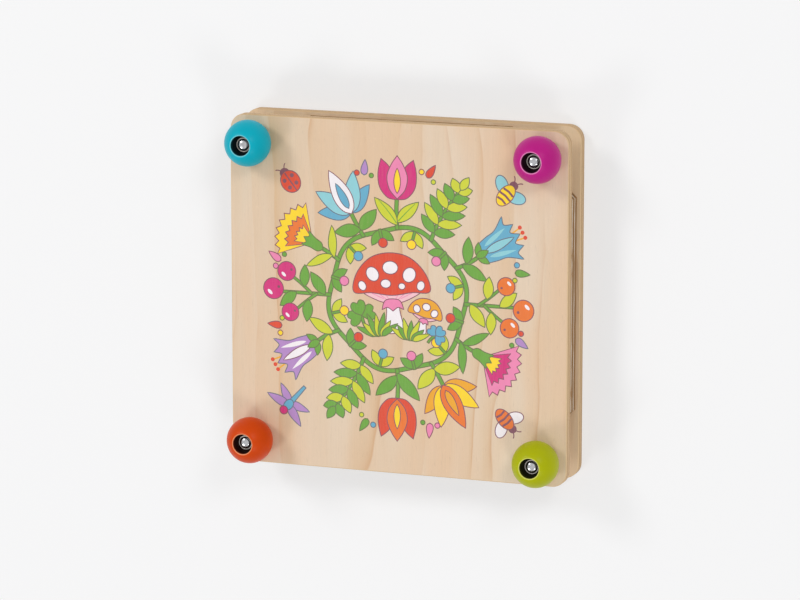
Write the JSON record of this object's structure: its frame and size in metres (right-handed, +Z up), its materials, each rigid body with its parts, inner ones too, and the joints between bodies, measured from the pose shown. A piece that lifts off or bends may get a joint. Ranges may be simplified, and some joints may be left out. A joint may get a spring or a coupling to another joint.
{
  "type": "flower press",
  "caption": "Square plywood flower press: a printed board is screwed down on a stack of corrugated card and blotting paper by round painted knobs on corner bolts.",
  "frame": {"origin": "middle of the base board's underside, on the surface that the press rests on", "axes": "+Z up along the bolts, +X to the right and +Y to the rear as the printed board is seen from the front"},
  "size_m": [0.19, 0.19, 0.0479],
  "materials": {
    "base_plywood": "sanded, unvarnished",
    "top_plywood": null,
    "orange_paint": "wooden ball, satin orange paint",
    "lime_paint": "wooden ball, satin lime paint",
    "turquoise_paint": "wooden ball, satin turquoise paint",
    "magenta_paint": "wooden ball, satin magenta paint",
    "zinc_steel": "zinc-plated, bright",
    "corrugated_card": "plain brown",
    "blotting_paper": "unsized, fibrous"
  },
  "bodies": {
    "base": {"base_board": "base_plywood", "bolt_front_left": "zinc_steel", "bolt_front_right": "zinc_steel", "bolt_rear_left": "zinc_steel", "bolt_rear_right": "zinc_steel", "nut_front_left": "zinc_steel", "nut_front_right": "zinc_steel", "nut_rear_left": "zinc_steel", "nut_rear_right": "zinc_steel", "card_1": "corrugated_card", "blotter_1": "blotting_paper"},
    "second_blotter": {"blotter_2": "blotting_paper"},
    "second_card": {"card_2": "corrugated_card"},
    "third_blotter": {"blotter_3": "blotting_paper"},
    "fourth_blotter": {"blotter_4": "blotting_paper"},
    "third_card": {"card_3": "corrugated_card"},
    "fifth_blotter": {"blotter_5": "blotting_paper"},
    "sixth_blotter": {"blotter_6": "blotting_paper"},
    "top_card": {"card_4": "corrugated_card"},
    "printed_board": {"top_board": "top_plywood"},
    "front_left_knob": {"knob_front_left": "orange_paint", "insert_front_left": "zinc_steel"},
    "front_right_knob": {"knob_front_right": "lime_paint", "insert_front_right": "zinc_steel"},
    "rear_left_knob": {"knob_rear_left": "turquoise_paint", "insert_rear_left": "zinc_steel"},
    "rear_right_knob": {"knob_rear_right": "magenta_paint", "insert_rear_right": "zinc_steel"}
  },
  "joints": [
    {"name": "printed_board_lift", "type": "slide", "parent": "base", "child": "printed_board", "axis": [0, 0, 1], "range_m": [0, 0.01]},
    {"name": "front_left_knob_turn", "type": "hinge", "parent": "printed_board", "child": "front_left_knob", "pos_m": [-0.081, -0.081, 0.027], "axis": [0, 0, 1], "range_deg": [0, 3600]},
    {"name": "front_right_knob_turn", "type": "hinge", "parent": "printed_board", "child": "front_right_knob", "pos_m": [0.081, -0.081, 0.027], "axis": [0, 0, 1], "range_deg": [0, 3600]},
    {"name": "rear_left_knob_turn", "type": "hinge", "parent": "printed_board", "child": "rear_left_knob", "pos_m": [-0.081, 0.081, 0.027], "axis": [0, 0, 1], "range_deg": [0, 3600]},
    {"name": "rear_right_knob_turn", "type": "hinge", "parent": "printed_board", "child": "rear_right_knob", "pos_m": [0.081, 0.081, 0.027], "axis": [0, 0, 1], "range_deg": [0, 3600]},
    {"name": "second_blotter_lift", "type": "slide", "parent": "base", "child": "second_blotter", "axis": [0, 0, 1], "range_m": [0, 0.00333]},
    {"name": "second_card_lift", "type": "slide", "parent": "base", "child": "second_card", "axis": [0, 0, 1], "range_m": [0, 0.00333]},
    {"name": "third_blotter_lift", "type": "slide", "parent": "base", "child": "third_blotter", "axis": [0, 0, 1], "range_m": [0, 0.00333]},
    {"name": "fourth_blotter_lift", "type": "slide", "parent": "base", "child": "fourth_blotter", "axis": [0, 0, 1], "range_m": [0, 0.00667]},
    {"name": "third_card_lift", "type": "slide", "parent": "base", "child": "third_card", "axis": [0, 0, 1], "range_m": [0, 0.00667]},
    {"name": "fifth_blotter_lift", "type": "slide", "parent": "base", "child": "fifth_blotter", "axis": [0, 0, 1], "range_m": [0, 0.00667]},
    {"name": "sixth_blotter_lift", "type": "slide", "parent": "base", "child": "sixth_blotter", "axis": [0, 0, 1], "range_m": [0, 0.01]},
    {"name": "top_card_lift", "type": "slide", "parent": "base", "child": "top_card", "axis": [0, 0, 1], "range_m": [0, 0.01]}
  ],
  "couplings": [
    {"joint": "front_left_knob_turn", "follows": "printed_board_lift", "rad_per_m": 6283.2},
    {"joint": "front_right_knob_turn", "follows": "printed_board_lift", "rad_per_m": 6283.2},
    {"joint": "rear_left_knob_turn", "follows": "printed_board_lift", "rad_per_m": 6283.2},
    {"joint": "rear_right_knob_turn", "follows": "printed_board_lift", "rad_per_m": 6283.2},
    {"joint": "second_blotter_lift", "follows": "printed_board_lift", "ratio": 0.3333},
    {"joint": "second_card_lift", "follows": "printed_board_lift", "ratio": 0.3333},
    {"joint": "third_blotter_lift", "follows": "printed_board_lift", "ratio": 0.3333},
    {"joint": "fourth_blotter_lift", "follows": "printed_board_lift", "ratio": 0.6666},
    {"joint": "third_card_lift", "follows": "printed_board_lift", "ratio": 0.6666},
    {"joint": "fifth_blotter_lift", "follows": "printed_board_lift", "ratio": 0.6666},
    {"joint": "sixth_blotter_lift", "follows": "printed_board_lift", "ratio": 1},
    {"joint": "top_card_lift", "follows": "printed_board_lift", "ratio": 1}
  ]
}
